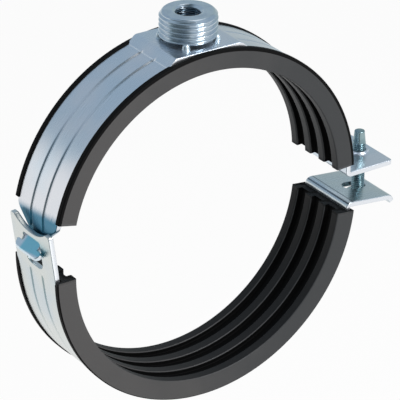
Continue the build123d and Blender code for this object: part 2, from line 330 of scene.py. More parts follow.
nut_zinc_and_painted_bore_shade = turned_zinc_and_painted_bore_shade("zinc_on_turned_nut", (0.64, 0.71, 0.76), (0.54, 0.62, 0.69), 0.14)
thread_foot = nut_radius - nut_thread_depth - nut_edge
nut_line = [(tap_radius, nut_bottom + nut_edge), (tap_radius + nut_edge, nut_bottom),
            (thread_foot, nut_bottom)]
nut_line = stepped(nut_line, 1.0) + stepped(
    [(thread_foot + nut_edge, nut_bottom + nut_edge), (nut_radius, nut_bottom + nut_foot_lead),
     (nut_radius, nut_top - nut_lead), (nut_radius - nut_lead + nut_edge, nut_top - nut_edge)], thread_step)
nut_line += stepped([(nut_radius - nut_lead - nut_edge, nut_top), (tap_mouth + nut_edge, nut_top)], 0.5)
nut_line += stepped([(tap_mouth, nut_top - nut_edge), (tap_radius, nut_top - tap_mouth + tap_radius),
                     (tap_radius, nut_bottom + nut_edge)], thread_step)
nut = made_by(turning, chain("hanger_nut", nut_line), {
    "Steps": nut_sides, "Turn": 2 * pi, "Finish": nut_zinc_and_painted_bore_shade,
    "Thread pitch": nut_pitch * mm, "Thread radius": nut_radius * mm, "Thread depth": nut_thread_depth * mm,
    "Thread from": 0.0, "Thread to": nut_top * mm,
    "Tap pitch": tap_pitch * mm, "Tap radius": tap_radius * mm, "Tap depth": tap_depth * mm})
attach(nut, "upper_half")
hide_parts("boss_nut")


# ---- weld projections
# Four small domes pressed out under the nut, squeezed down when it is welded to the strip; a little
# metal is pushed out past the nut's rim at each.
weld_count = 4
weld_turn = 52.0
weld_circle = 9.98
weld_radius = 1.5
weld_top = 66.5
weld_base = 64.45
weld_skirt = 0.2            # its foot, below the dome
on_axis = 0.01              # a turned line starts and ends this near its axis

weld_line = [(on_axis, weld_base), (weld_radius * 1.1, weld_base)]
weld_line += [(weld_radius * (0.82 * cos(a) + 0.12),
               weld_base + weld_skirt + (weld_top - weld_base - weld_skirt) * sin(a))
              for a in np.linspace(0, 1.45, 9)]
weld_line += [(on_axis, weld_top)]
weld_zinc = turned_zinc_and_painted_bore_shade("zinc_on_welds", (0.72, 0.80, 0.84), (0.62, 0.72, 0.78), 0.34)
for number in range(weld_count):
    turn = radians(weld_turn + 360 * number / weld_count)
    under_rim = Matrix.Translation((weld_circle * mm * cos(turn), weld_circle * mm * sin(turn), 0))
    weld = made_by(turning, chain(f"weld_projection_{number + 1}", stepped(weld_line, 0.25)), {
        "Steps": 28, "Turn": 2 * pi, "Finish": weld_zinc, "Thread pitch": 1.0, "Tap pitch": 1.0}, under_rim)
    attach(weld, "upper_half")


# ---- upper band
# Zinc-plated strip, 26 x 2 mm: blanked and pierced flat, two lines rolled into its outer face, then
# folded round to a hooked tongue at one end and a flat ear with a drawn-up screw collar at the other.
sheet = 2.0
half_sheet = sheet / 2
half_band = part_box("upper_band")[1].y / mm
seat_radius = mounts["pipe_seat"]["dims"]["r_mm"]
band_mid = seat_radius + 6.2
hinge_joint = next(joint for joint in frame["joints"] if joint["name"] == "hook_hinge")
hinge = (hinge_joint["pos_m"][0] / mm, hinge_joint["pos_m"][2] / mm)
hook_gap = 0.25             # running clearance of the hook round the slotted plate's edge
hook_reach = 6.95
hook_width = 15.5
neck_width = 9.5
neck_height = 4.6
tongue_inset = 1.3
pad_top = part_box("upper_band")[1].z / mm
pad_half = 13.6
pad_ramp = 2.8
ear_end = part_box("upper_band")[1].x / mm
ear_top = 0.3
ear_lead = 2.8
line_place = 4.0            # the rolled lines, from the middle of the strip
line_half = 0.9
line_depth = 0.45
line_runout = 0.7
crease_ridge = 0.1          # metal pushed up along the seat's creases
crease_reach = 0.6
screw_x = (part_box("clamp_screw")[0].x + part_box("clamp_screw")[1].x) / 2 / mm
screw_radius = 2.5
screw_play = 0.06
collar_radius = 3.3
collar_rise = 0.8
collar_fillet = 0.55
collar_sink = 0.5           # drawn in from the ear's underside
collar_sink_reach = 0.8
edge_round = 0.32
tip_round = 0.9             # at the hook's tip
rim_steps = 4               # steps round each edge of a rim
rim_hold = 0.14             # a flat border that holds the rim's shading
row_margin = 0.3            # no point of a row comes nearer to a ring's points
uv_scale = 0.01             # of the strip's map, for each millimetre
# painted shade on the strip's cut edges
cut_edge_painted_shade = (0.76, 0.79, 0.83, 1.0)


class Fold:
    """A strip's middle line in the XZ plane, by length from its start, with its corners eased."""

    def __init__(self, stations, outer_side, spacing=0.05):
        """stations are (x, z, ease): the corner there is bent over that length of the strip."""
        x, z, ease = np.array(stations).T
        length = np.concatenate([[0], np.cumsum(np.hypot(np.diff(x), np.diff(z)))])
        margin = 6.0
        self.end = length[-1]
        s = np.arange(-margin, self.end + margin, spacing)
        before, after = (x[1] - x[0], z[1] - z[0]), (x[-1] - x[-2], z[-1] - z[-2])
        before = np.array(before) / hypot(*before)
        after = np.array(after) / hypot(*after)
        path = np.array([np.interp(s, length, x), np.interp(s, length, z)]).T
        path[s < 0] += np.outer(s[s < 0], before)
        path[s > self.end] += np.outer(s[s > self.end] - self.end, after)
        total = np.cumsum(path, 0) * spacing
        half = np.interp(s, length, ease) / 2
        eased = [(np.interp(s + half, s, total[:, i]) - np.interp(s - half, s, total[:, i])) / (2 * half)
                 for i in (0, 1)]
        slope = [np.gradient(line, spacing) for line in eased]
        size = np.hypot(*slope)
        self.s, self.place = s, eased
        self.outward = [-slope[1] / size * outer_side, slope[0] / size * outer_side]

    def at(self, s, height):
        """X and Z of points at a length along the strip and a height over its middle."""
        return [np.interp(s, self.s, self.place[i]) + height * np.interp(s, self.s, self.outward[i])
                for i in (0, 1)]

    def length_at(self, test):
        """The length at which a test on (x, z) first holds."""
        inside = (self.s >= 0) & (self.s <= self.end) & test(*self.place)
        return self.s[np.argmax(inside)]

    def levels(self, flat_step, bend_step):
        """Lengths for rows of points: close together where the strip is bent."""
        turn = np.unwrap(np.arctan2(self.outward[1], self.outward[0]))
        rate = np.abs(np.gradient(turn, self.s[1] - self.s[0]))
        weight = np.maximum(1 / flat_step, rate / radians(bend_step))
        inside = (self.s > 0) & (self.s < self.end)
        total = np.cumsum(weight * inside) * (self.s[1] - self.s[0])
        return np.interp(np.arange(0.5, total[-1], 1.0), total, self.s)


def loop_of(corners, step):
    """A closed outline through corners (x, y, radius), in points about a step apart."""
    points = []
    corners = [(*corner, 0.0)[:3] for corner in corners]
    for before, corner, after in zip(corners[-1:] + corners[:-1], corners, corners[1:] + corners[:1]):
        here, radius = np.array(corner[:2]), corner[2]
        back, ahead = np.array(before[:2]) - here, np.array(after[:2]) - here
        back, ahead = back / hypot(*back), ahead / hypot(*ahead)
        turn = pi - acos(np.clip(back @ ahead, -1, 1))
        if radius == 0 or turn < 0.01:
            points.append(here)
            continue
        reach = radius * tan(turn / 2)
        start, side = here + back * reach, np.sign(back[0] * ahead[1] - back[1] * ahead[0])
        normal = np.array([back[1], -back[0]]) * -side
        centre = start + normal * radius
        first = atan2(*(start - centre)[::-1])
        count = max(3, ceil(radius * turn / step), ceil(degrees(turn) / 12))
        for share in np.linspace(0, 1, count + 1):
            angle = first - side * turn * share
            points.append(centre + radius * np.array([cos(angle), sin(angle)]))
    closed = stepped([tuple(p) for p in points] + [tuple(points[0])], step)
    return np.array(closed[:-1])


def with_sheet_on_the_left(loop, rounding, hole):
    """The outline and its rim radii, run with the sheet on the left, and its normals into the sheet."""
    area = np.sum(loop[:, 0] * np.roll(loop[:, 1], -1) - np.roll(loop[:, 0], -1) * loop[:, 1])
    if (area > 0) == hole:
        loop, rounding = loop[::-1], rounding[::-1]
    along = np.roll(loop, -1, 0) - np.roll(loop, 1, 0)
    along /= np.linalg.norm(along, axis=1)[:, None]
    return loop, rounding, np.stack([-along[:, 1], along[:, 0]], 1)


def inside_of(loop, points):
    """Which points lie inside a closed outline."""
    crossings = np.zeros(len(points), int)
    for (x0, y0), (x1, y1) in zip(loop, np.roll(loop, -1, 0)):
        if y0 != y1:
            spans = (points[:, 1] > min(y0, y1)) & (points[:, 1] <= max(y0, y1))
            crossings += spans & (points[:, 0] < x0 + (points[:, 1] - y0) * (x1 - x0) / (y1 - y0))
    return crossings % 2 == 1


def cut_blank(rings, rows):
    """The flat blank in triangles: its points, the triangles, and each ring's places among the points.

    rings are outlines, the first the outside one; rows are points spread over the sheet."""
    ring_points = np.concatenate(rings)
    starts = np.cumsum([0] + [len(ring) for ring in rings]).tolist()
    edges = [(start + i, start + (i + 1) % len(ring)) for start, ring in zip(starts, rings)
             for i in range(len(ring))]
    near = np.full(len(rows), np.inf)
    for x, y in ring_points:
        near = np.minimum(near, np.hypot(rows[:, 0] - x, rows[:, 1] - y))
    flat = [Vector(p) for p in (*ring_points, *rows[near > row_margin])]
    spots, _, triangles, from_points, _, _ = delaunay_2d_cdt(flat, edges, [], 0, 1e-6, True)
    spots, triangles = np.array([tuple(p) for p in spots]), np.array([tuple(face) for face in triangles])
    middles = spots[triangles].mean(1)
    kept = inside_of(rings[0], middles)
    for hole in rings[1:]:
        kept &= ~inside_of(hole, middles)
    where = {old: new for new, olds in enumerate(from_points) for old in olds}
    places = [[where[start + i] for i in range(len(ring))] for start, ring in zip(starts, rings)]
    return spots, triangles[kept], places


def folded_sheet(name, fold, loops, rounds, relief, extra_points, across, material):
    """The folded strip: faces triangulated flat over rows of points, rounded rims, then laid on the fold.

    loops are the flat blank's outlines in (length, width), the first the outside one. rounds gives each
    point of a loop the radius of its rim's edge. relief(length, width, side) is added to the height."""
    rims = [with_sheet_on_the_left(loop, rounding, number > 0)
            for number, (loop, rounding) in enumerate(zip(loops, rounds))]
    rings = [loop + normal * (rounding + rim_hold)[:, None] for loop, rounding, normal in rims]
    rows = np.array([(s, t) for s in fold.levels(1.3, 6.0) for t in across])
    spots, triangles, ring_places = cut_blank(rings, np.concatenate([rows, *extra_points]))
    count = len(spots)
    s, t = list(np.tile(spots[:, 0], 2)), list(np.tile(spots[:, 1], 2))
    h, side = list(np.repeat([half_sheet, -half_sheet], count)), list(np.repeat([1.0, -1.0], count))
    a, b, c = spots[triangles[0]]
    upward = (b[0] - a[0]) * (c[1] - a[1]) - (b[1] - a[1]) * (c[0] - a[0]) > 0
    faces = [tuple(face if upward else face[::-1]) for face in triangles]
    faces += [tuple(face[::-1] + count if upward else face + count) for face in triangles]
    section = [(1 - sin(radians(a)), 1 - cos(radians(a)), 1.0) for a in np.linspace(0, 90, rim_steps + 1)]
    section += [(inset, drop, -1.0) for inset, drop, _ in section[::-1]]
    for (loop, rounding, normal), previous in zip(rims, ring_places):
        size = len(loop)
        last = [i + count for i in previous]
        for inset, drop, half in section:
            points = loop + normal * (rounding * inset)[:, None]
            row = list(range(len(s), len(s) + size))
            s += list(points[:, 0])
            t += list(points[:, 1])
            h += list(half * (half_sheet - rounding * drop))
            side += [half * (1 - drop)] * size
            faces += [(previous[i], row[i], row[(i + 1) % size], previous[(i + 1) % size])
                      for i in range(size)]
            previous = row
        faces += [(previous[i], last[i], last[(i + 1) % size], previous[(i + 1) % size]) for i in range(size)]
    s, t, h, side = (np.array(v) for v in (s, t, h, side))
    x, z = fold.at(s, h + relief(s, t, side))
    mesh = bpy.data.meshes.new(name)
    mesh.from_pydata([(a * mm, b * mm, c * mm) for a, b, c in zip(x, t, z)], [], faces)
    layer = mesh.uv_layers.new(name="along_the_strip")
    corner = np.zeros(len(mesh.loops), int)
    mesh.loops.foreach_get("vertex_index", corner)
    layer.data.foreach_set("uv", np.stack([s[corner], t[corner]], 1).astype(np.float32).ravel() * uv_scale)
    mesh.shade_smooth()
    mesh.materials.append(material)
    piece = bpy.data.objects.new(name, mesh)
    bpy.context.scene.collection.objects.link(piece)
    faces_outward(mesh)
    return piece


def smooth(value):
    """Smooth step of a value clipped to 0..1."""
    value = np.clip(value, 0, 1)
    return value * value * (3 - 2 * value)


def rolled_lines(s, t, first, last):
    """Height of the two rolled lines, which run out at each end."""
    depth = np.zeros_like(s)
    for place in (-line_place, line_place):
        depth += smooth(1 - np.abs(t - place) / line_half)
    return -line_depth * depth * smooth((s - first) / line_runout) * smooth((last - s) / line_runout)


def strip_zinc(name, tint, second_tint, zones, marks):
    """Blue-white zinc plating on rolled strip: soft clouds of tint, fine rolling marks along the strip, and
    painted shade that darkens its cut edges.

    zones are (from, to, side, softness, colour): lengths along the strip over which another colour is
    painted, up to a place across it; near the hook these are painted reflection and shade. marks are
    (length, half width, colour) of lines painted across the strip: a white painted highlight on a crease,
    and dark lines at a bend."""
    material, wire = new_finish(name)
    place = wire.node("ShaderNodeTexCoord", out="Object")
    along = wire.node("ShaderNodeTexCoord", out="UV")
    cloud = place.noise(38.0)
    grit = along.stretched((3.0, 120.0, 1.0)).noise(6.0, 5.0)
    grain = place.noise(1500.0, 2.0)
    colour = cloud.between(0.38, 0.62).mix((*tint, 1.0), (*second_tint, 1.0))
    side_soft = 0.8
    length = along.axis("X") * (1 / uv_scale)
    width = along.axis("Y") * (1 / uv_scale)
    for start, end, side, soft, zone_colour in zones:
        feathered = length + (grit - 0.5) * (soft * 3.0) + width * 0.12
        inside = feathered.between(start - soft, start + soft)
        inside = inside * (1.0 - feathered.between(end - soft, end + soft))
        inside = inside * (1.0 - width.between(side - side_soft, side + side_soft))
        colour = inside.mix(colour, (*zone_colour, 1.0))
    for mark, reach, mark_colour in marks:
        # lines painted across the strip: a white painted highlight on a crease, or dark lines
        painted_line = 1.0 - (length - mark).math("ABSOLUTE").between(reach * 0.4, reach)
        colour = (painted_line * 0.8).mix(colour, (*mark_colour, 1.0))
    # painted shade: faces whose normals lie across the strip, its cut edges, are darkened
    cut_edge = wire.node("ShaderNodeTexCoord", out="Normal").axis("Y").math("ABSOLUTE").between(0.75, 0.95)
    colour = cut_edge.mix(colour, cut_edge_painted_shade)
    wire.node("ShaderNodeBsdfPrincipled", {}, {
        "Base Color": colour,
        "Metallic": 1.0,
        "Roughness": grit * 0.1 + cloud * 0.08 + 0.19,
        "Normal": wire.node("ShaderNodeBump", {}, {"Height": grit * 0.6 + grain * 0.4, "Strength": 0.14,
                                                   "Distance": 0.00006}),
    }).ends()
    return material


def arc_stations(centre, radius, start, end):
    """Stations about a degree apart round an arc, angles in degrees from +X towards +Z."""
    count = ceil(abs(end - start))
    return [(centre[0] + radius * cos(radians(a)), centre[1] + radius * sin(radians(a)), 1.0)
            for a in np.linspace(start, end, count + 1)]


slope45 = sqrt(0.5)
hook_offset = half_sheet + hook_gap + half_sheet
hook_root = (hinge[0] + slope45 * hook_offset, hinge[1] - slope45 * hook_offset)
hook_end = (hook_root[0] - slope45 * hook_reach, hook_root[1] - slope45 * hook_reach)
tongue_x = -(band_mid - tongue_inset)
crook = (tongue_x, hook_root[1] + (tongue_x - hook_root[0]))
tongue_top = (tongue_x, sqrt(band_mid ** 2 - tongue_x ** 2))
tongue_angle = degrees(atan2(tongue_top[1], tongue_top[0]))
crease_half = pad_half + pad_ramp
crease_angle = degrees(acos(crease_half / band_mid))
pad_mid = pad_top - half_sheet
ear_mid = ear_top - half_sheet
ear_angle = degrees(asin((ear_mid + ear_lead) / band_mid))

upper_stations = [(*hook_end, 0.4), (*crook, 3.0)]
upper_stations += arc_stations((0, 0), band_mid, tongue_angle, 180 - crease_angle)
upper_stations[-1] = (*upper_stations[-1][:2], 0.6)
upper_stations += [(-pad_half, pad_mid, 1.1), (pad_half, pad_mid, 1.1)]
upper_stations += arc_stations((0, 0), band_mid, crease_angle, ear_angle)
ear_corner = (upper_stations[-1][0], ear_mid, 3.4)
upper_stations += [ear_corner, (ear_end, ear_mid, 0.4)]
upper_fold = Fold(upper_stations, 1)

# The blank's outline, from the hook's tip round by the ear. The shoulders stop at the slotted plate.
lower_centre_shut = (1.85, -3.2)    # of the lower half's round, when shut
rest_opening = 4.4                  # degrees that it hangs open by
plate_gap = 0.45


def turned(point, angle):
    """A point of the XZ plane turned about the hinge, positive closes the clamp."""
    dx, dz = point[0] - hinge[0], point[1] - hinge[1]
    c, s = cos(radians(angle)), sin(radians(angle))
    return (hinge[0] + c * dx - s * dz, hinge[1] + s * dx + c * dz)


lower_centre = turned(lower_centre_shut, -rest_opening)
plate_reach = hypot(lower_centre[0] - hinge[0], lower_centre[1] - hinge[1])
plate_lean = radians(90) - asin(band_mid / plate_reach) + atan2(lower_centre[1] - hinge[1],
                                                                 lower_centre[0] - hinge[0])
lean_out = (cos(plate_lean), sin(plate_lean))
lean_up = (-sin(plate_lean), cos(plate_lean))
shoulder = upper_fold.length_at(lambda x, z: (x - hinge[0]) * lean_out[0] + (z - hinge[1]) * lean_out[1]
                                > -half_sheet - plate_gap)
neck_end = upper_fold.length_at(lambda x, z: (x < -50) & (z > neck_height))
taper_end = upper_fold.length_at(lambda x, z: (x < -50) & (z > tongue_top[1] - 1.2))
half_hook, half_neck = hook_width / 2, neck_width / 2
blank = [(0, half_hook, 3.0), (shoulder, half_hook, 0.7), (shoulder, half_neck, 0.5),
         (neck_end, half_neck, 1.2), (taper_end, half_band, 5.0), (upper_fold.end, half_band, 1.1)]
blank += [(s, -t, r) for s, t, r in blank[::-1]]
blank_loop = loop_of(blank, 0.42)
screw_s = upper_fold.length_at(lambda x, z: (x > screw_x) & (z < 5))


def rim_radii(loop, start, broad):
    """The radius of a rim's edge, broad up to a length along the strip, blended over a few points."""
    radii = np.where(loop[:, 0] < start, broad, edge_round)
    return np.convolve(np.r_[radii[-3:], radii, radii[:3]], np.ones(7) / 7, "valid")


def round_screw(radius, count):
    """Points round the screw's place on the flat blank."""
    turns = np.linspace(0, 2 * pi, count, endpoint=False)
    return [(screw_s + radius * cos(a), radius * sin(a)) for a in turns]


hole_loop = np.array(round_screw(screw_radius + screw_play, 48))
collar_rings = np.concatenate([round_screw(r, 56) for r in (3.0, 3.2, 3.35, 3.5, 3.65, 3.8, 4.0, 4.4)])
crease_left = upper_fold.length_at(lambda x, z: (z > 50) & (x > -crease_half))
crease_right = upper_fold.length_at(lambda x, z: (z > 50) & (x > crease_half))
line_start = upper_fold.length_at(lambda x, z: (x < -50) & (z > neck_height + sheet))
ear_start = upper_fold.length_at(lambda x, z: (x > 50) & (z < ear_mid + ear_lead))


def upper_relief(s, t, side):
    """Rolled lines on the outer face, and the collar drawn up through the ear."""
    outer = np.maximum(side, 0)
    lines = rolled_lines(s, t, line_start, crease_left + line_runout) \
        + rolled_lines(s, t, crease_right - line_runout, ear_start)
    from_hole = np.hypot(s - screw_s, t)
    drawn_up = collar_rise * smooth((collar_radius + collar_fillet - from_hole) / collar_fillet)
    ridges = crease_ridge * sum(smooth(1 - np.abs(s - crease) / crease_reach)
                                for crease in (crease_left, crease_right))
    sunk = collar_sink * smooth((collar_radius - from_hole) / collar_sink_reach)
    return outer * (lines + drawn_up + ridges) + np.maximum(-side, 0) * sunk


# From the hook's tip a dark blue painted reflection and shade, over that a pale painted reflection, and over
# that a light blue painted reflection on most of its width.
tongue_painted_blue_reflection, hook_painted_pale_reflection, hook_painted_blue_reflection = (0.06, 0.21, 0.32), (0.70, 0.80, 0.87), (0.28, 0.64, 0.76)
dark_to, pale_to, blue_from, blue_side = 17.5, 8.4, 0.9, 3.6
past_edge = 90.0            # a zone that runs over the strip's start or edge
hook_zinc_and_painted_light = strip_zinc("zinc_on_hooked_strip", (0.66, 0.74, 0.81), (0.76, 0.78, 0.82),
                         [(-past_edge, dark_to, past_edge, 1.7, tongue_painted_blue_reflection),
                          (-past_edge, pale_to, past_edge, 0.7, hook_painted_pale_reflection),
                          (blue_from, pale_to, blue_side, 0.5, hook_painted_blue_reflection)],
                         # painted highlight: a white line along the seat's left crease
                         [(crease_left, 0.65, (1.0, 1.0, 1.0))])
wide_rows = (0.0, 1.4, 6.4, 7.8, 9.2, 10.6, 11.8)
line_rows = (0.0, 0.3, 0.55, 0.8, 1.1)      # from the middle of a rolled line
across = {half * row for half in (-1, 1) for row in wide_rows}
across |= {round(half * line_place + fall * row, 3)
           for half in (-1, 1) for fall in (-1, 1) for row in line_rows}
across = sorted(across)
upper_piece = folded_sheet("upper_strip", upper_fold, [blank_loop, hole_loop],
                           [rim_radii(blank_loop, 0.6, tip_round), np.full(len(hole_loop), 0.2)],
                           upper_relief, [collar_rings], across, hook_zinc_and_painted_light)
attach(upper_piece, "upper_half")
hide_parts("upper_band")


# ---- lower band
# The same strip: a slotted plate with two horns that hangs on the upper band's hook, the round, and an
# ear with an elongated hole for the clamp screw and a turned-down lip.
slot_half = 5.4
slot_depth = 12.2
slot_round = 3.2
slot_top_round = 0.95       # the rim's edge along the slot's top
horn_rise = 4.9
horn_width = 2.8
saddle_rise = 1.4
saddle_power = 2.2          # how squarely the saddle turns up into the horns
lower_ear_mid = -3.4
lower_ear_x = 83.7
lower_ear_lead = 5.3
lip_end = (85.2, -6.2)
hole_from, hole_to, hole_width = 71.4, 81.1, 6.0
line_stop_shut = -8.7       # a height in the clamp's middle, when shut
line_stop_drop = 9.0        # how far under it the rolled lines end, once the half hangs open

plate_top = (hinge[0] + lean_up[0] * horn_rise, hinge[1] + lean_up[1] * horn_rise)
foot_angle = 180 + degrees(plate_lean)
root_angle = 360 + degrees(asin((lower_ear_mid - lower_ear_lead - lower_centre_shut[1]) / band_mid))
lower_stations = [(*plate_top, 0.4)]
lower_stations += arc_stations(lower_centre, band_mid, foot_angle, root_angle - rest_opening)
root_x = lower_centre_shut[0] + band_mid * cos(radians(root_angle))
lower_stations += [(*turned((root_x, lower_ear_mid), -rest_opening), 3.4),
                   (*turned((lower_ear_x, lower_ear_mid - 0.5), -rest_opening), 2.0),
                   (*turned(lip_end, -rest_opening), 0.4)]
lower_fold = Fold(lower_stations, -1)
lower_end = lower_fold.end
half_saddle = half_band - horn_width
saddle_drop = horn_rise - saddle_rise
lower_blank = [(saddle_drop * (1 - (abs(t) / half_saddle) ** saddle_power), t, 0.0)
               for t in np.linspace(-half_saddle, half_saddle, 33)[1:-1]]
lower_blank += [(0, half_saddle, 1.0), (0, half_band, 1.0), (lower_end, half_band, 1.2),
                (lower_end, -half_band, 1.2), (0, -half_band, 1.0), (0, -half_saddle, 1.0)]
lower_loop = loop_of(lower_blank, 0.42)
slot_top, slot_end = horn_rise + half_sheet, horn_rise + slot_depth
slot_loop = loop_of([(slot_top, -slot_half, 0.5), (slot_top, slot_half, 0.5),
                     (slot_end, slot_half, slot_round), (slot_end, -slot_half, slot_round)], 0.36)


def ear_length(x):
    """Length along the lower strip of a place on its ear, by X when shut."""
    at = turned((x, lower_ear_mid), -rest_opening)[0]
    return lower_fold.length_at(lambda px, pz: (px > at) & (pz > -20))


hole_low, hole_high, half_hole = ear_length(hole_from), ear_length(hole_to), hole_width / 2
hole_end = half_hole - 0.01     # rounds its ends, which stop just short of meeting
oval_loop = loop_of([(hole_low, -half_hole, hole_end), (hole_low, half_hole, hole_end),
                     (hole_high, half_hole, hole_end), (hole_high, -half_hole, hole_end)], 0.36)
lower_line_start = horn_rise + slot_depth + 2.0
line_stop = turned((0, line_stop_shut), -rest_opening)[1] - line_stop_drop
lower_line_end = lower_fold.length_at(lambda x, z: (x > 40) & (z > line_stop))


def lower_relief(s, t, side):
    """Rolled lines on the outer face."""
    return np.maximum(side, 0) * rolled_lines(s, t, lower_line_start, lower_line_end)


# Two dark lines are painted across the strip at the ear's bend.
ear_root_x = turned((root_x, lower_ear_mid), -rest_opening)[0]
past_bend = lower_fold.length_at(lambda x, z: (x > ear_root_x + 3.0) & (z > -20))
lower_strip_zinc_and_painted_shade = strip_zinc("zinc_on_strip", (0.60, 0.67, 0.71), (0.68, 0.71, 0.69), [],
                          [(past_bend - 2.9, 0.4, (0.06, 0.09, 0.12)),
                           (past_bend - 1.1, 0.34, (0.08, 0.12, 0.16))])
lower_piece = folded_sheet("lower_strip", lower_fold, [lower_loop, slot_loop, oval_loop],
                           [np.full(len(lower_loop), edge_round),
                            rim_radii(slot_loop, slot_top + 0.3, slot_top_round),
                            np.full(len(oval_loop), edge_round)], lower_relief, [], across, lower_strip_zinc_and_painted_shade)
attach(lower_piece, "lower_half")
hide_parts("lower_band")


# ---- rubber linings
# Black rubber profile, extruded and cut to length: four ribs that grip the pipe, and two lips that fold
# over the strip's edges. One length is pushed on to each half.
half_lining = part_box("upper_lining")[1].y / mm
lip_radius = -(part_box("lower_lining")[0].z / mm) + lower_centre[1]
rib_height = 2.0
rib_width = 3.8
rib_count = 4
rib_round = 0.5
rib_root_round = 0.25
lip_round = 0.5
lip_wrap = 0.7
band_inner, band_outer = band_mid - half_sheet, band_mid + half_sheet
upper_lining_span = (3.5, 167.2)
lower_lining_span = (184.4 - rest_opening, 358.1 - rest_opening)

rubber, wire = new_finish("black_rubber")
place = wire.node("ShaderNodeTexCoord", out="Object")
cloud = place.noise(70.0, 4.0)
skin = place.noise(900.0, 3.0)
across_clamp = place.axis("X") * (1 / (2 * band_mid * mm)) + 0.5
grain = wire.node("ShaderNodeBump", {}, {"Height": skin, "Strength": 0.2, "Distance": 0.00006})
# painted light and shade: a face attribute picks the lit grey rubber or the near-black painted shade
painted_light_share = wire.node("ShaderNodeAttribute", {"attribute_name": "bloom"}, {}, "Fac")
# painted light: the grey is lighter on the left of the clamp and darker on the right, broken by random clouds
painted_lit_rubber = wire.node("ShaderNodeBsdfPrincipled", {}, {
    "Base Color": (across_clamp + (cloud - 0.5) * 0.6).between(0.1, 0.9).mix(
        (0.056, 0.054, 0.054, 1.0), (0.027, 0.029, 0.031, 1.0)),
    "Roughness": skin * 0.12 + 0.44, "Specular IOR Level": 0.4, "Normal": grain})
painted_shaded_rubber = wire.node("ShaderNodeBsdfPrincipled", {}, {
    "Base Color": (0.003, 0.003, 0.003, 1.0), "Roughness": 0.6, "Specular IOR Level": 0.08, "Normal": grain})
painted_light_share.mix_shader(painted_shaded_rubber, painted_lit_rubber).ends()

rib_pitch = (2 * half_lining - rib_width) / (rib_count - 1)
lining_corners = []
for number in range(rib_count):
    low = -half_lining + number * rib_pitch
    high = low + rib_width
    if number > 0:
        lining_corners += [(seat_radius + rib_height, low, rib_root_round)]
    lining_corners += [(seat_radius, low, rib_round), (seat_radius, high, rib_round)]
    if number < rib_count - 1:
        lining_corners += [(seat_radius + rib_height, high, rib_root_round)]
lip = [(lip_radius, half_lining, lip_round), (lip_radius, half_band - lip_wrap, lip_round / 2),
       (band_outer, half_band - lip_wrap, 0.0), (band_outer, half_band, 0.0), (band_inner, half_band, 0.0)]
lining_corners += lip + [(radius, -width, rounding) for radius, width, rounding in lip[::-1]]
lining_loop = [tuple(p) for p in loop_of(lining_corners, 0.8)]
lining_loop.append(lining_loop[0])
on_side = Matrix(((1, 0, 0, 0), (0, 0, 1, 0), (0, 1, 0, 0), (0, 0, 0, 1)))


def paint_rubber_light(mesh, centre, crest_painted_light, lip_shade):
    """Paints light and shade on the rubber by face: a lit grey on the rib crests, their rounded edges and the
    side faces, painted shade in the grooves, along the lip and on the cut ends.
    """
    middle = np.array([face.center for face in mesh.polygons]) / mm
    normal = np.array([face.normal for face in mesh.polygons])
    radial = middle[:, [0, 2]] - np.array(centre)
    radius = np.linalg.norm(radial, axis=1)
    tangent = np.stack([-radial[:, 1], radial[:, 0]], 1) / radius[:, None]
    cut_end = np.abs(np.einsum("ij,ij->i", normal[:, [0, 2]], tangent)) > 0.7
    crest = radius < seat_radius + 0.1
    crest_edge = (radius < seat_radius + rib_round) & ~crest
    side_face = (np.abs(middle[:, 1]) > half_lining - 0.3) & (radius < lip_radius - lip_shade)
    bloom = np.where(crest, crest_painted_light, np.where(crest_edge, 1.0, 0.0))
    bloom = np.where(cut_end, 0.1, np.where(side_face, 1.0, bloom))
    mesh.attributes.new("bloom", "FLOAT", "FACE").data.foreach_set("value", bloom.astype(np.float32))


# the fifth value is the share of painted light on the rib crests, the sixth how far the painted shade along
# the lip reaches
for half, body, centre, span, crest_painted_light, lip_shade in (
        ("upper", "upper_half", (0, 0), upper_lining_span, 0.75, 0.9),
        ("lower", "lower_half", lower_centre, lower_lining_span, 0.3, 0.4)):
    lining = made_by(turning, chain(half + "_rubber", lining_loop), {
        "Steps": 120, "From": radians(span[0]), "Turn": radians(span[1] - span[0]), "Part turn": True,
        "Thread pitch": 1.0, "Tap pitch": 1.0, "Finish": rubber},
        Matrix.Translation((centre[0] * mm, 0, centre[1] * mm)) @ on_side)
    paint_rubber_light(lining.data, centre, crest_painted_light, lip_shade)
    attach(lining, body)
    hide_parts(half + "_lining")


# ---- clamp screw
# M5 pan-head steel screw, thread rolled up to a plain tapered tip, zinc plated; its dark green-grey tinge is
# a painted reflection.
# Its head, with a plain round recess, sits under the lower ear, and it screws into the upper ear's collar.
screw_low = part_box("clamp_screw")[0].z / mm
screw_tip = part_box("clamp_screw")[1].z / mm
head_radius = (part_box("clamp_screw")[1].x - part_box("clamp_screw")[0].x) / 2 / mm
head_height = 3.5
head_seat = screw_low + head_height
head_round = 1.7
recess_depth = 1.6
tip_radius = 1.95
tip_length = 4.6
screw_pitch = 0.8
screw_thread_depth = 0.46

